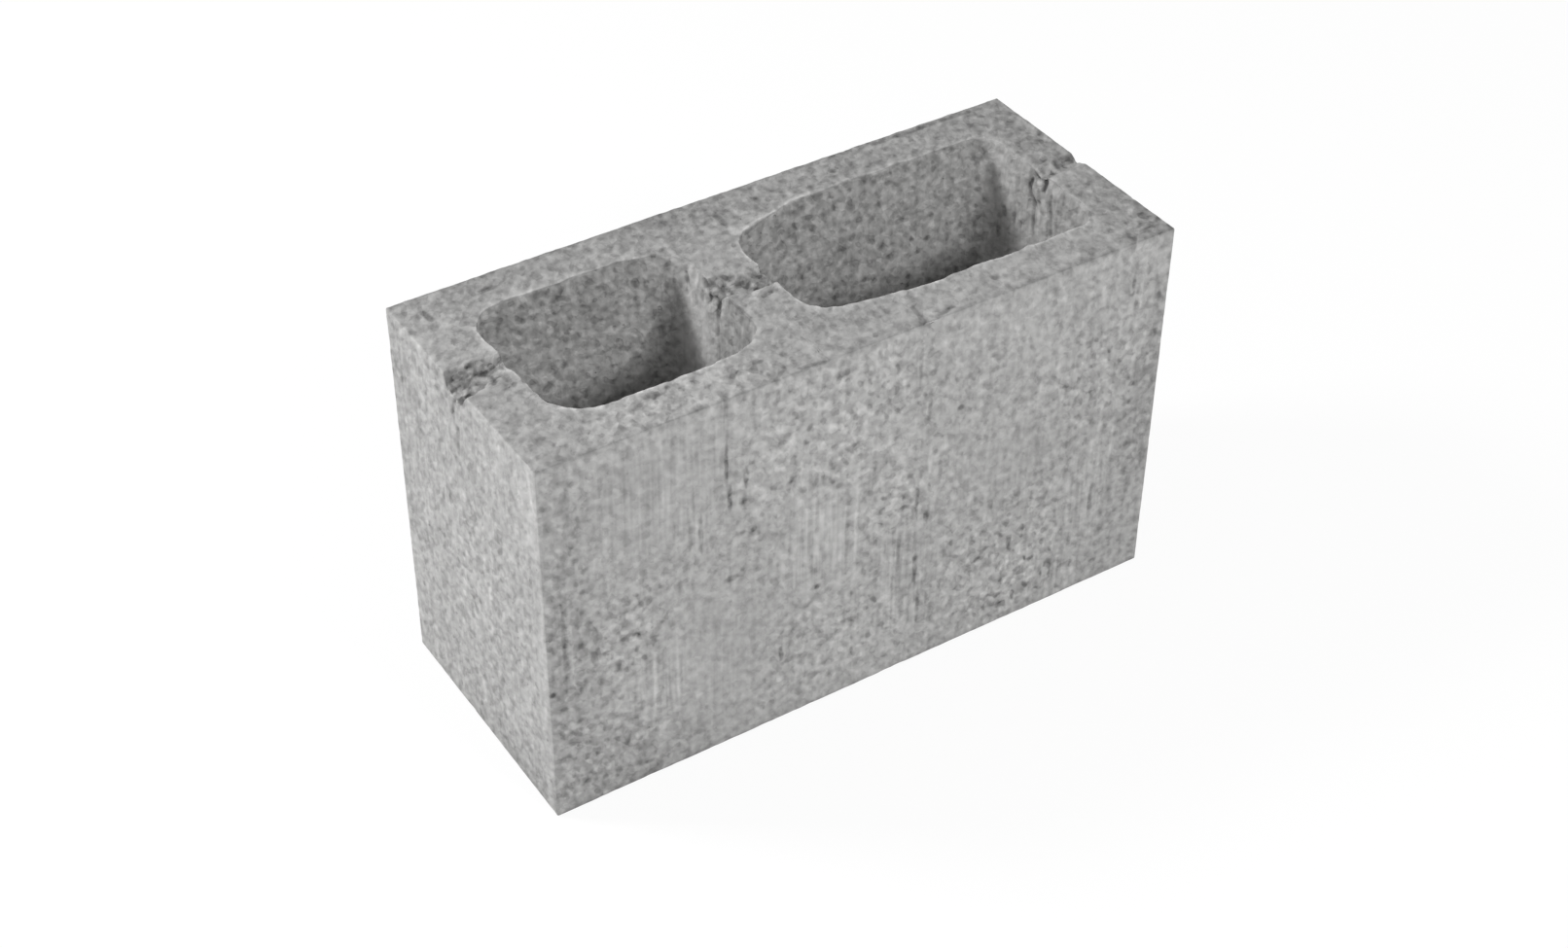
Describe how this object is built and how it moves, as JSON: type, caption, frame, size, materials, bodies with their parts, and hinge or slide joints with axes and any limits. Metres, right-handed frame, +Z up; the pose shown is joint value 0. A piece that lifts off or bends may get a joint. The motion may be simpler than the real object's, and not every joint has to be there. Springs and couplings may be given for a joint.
{
  "type": "hollow concrete block",
  "caption": "Hollow concrete masonry block with unequal open cells, plain flat ends and a shallow core-bar groove across its webs.",
  "frame": {"origin": "middle of the bottom bed face, the face that the block stands on", "axes": "+X along the block's length, from the small cell's end to the large cell's end; +Y across its width, from the front face to the back face; +Z up, towards the grooved bed face"},
  "size_m": [0.34, 0.14, 0.205],
  "materials": {
    "concrete": "matte"
  },
  "bodies": {
    "root": {"block": "concrete"}
  },
  "joints": []
}
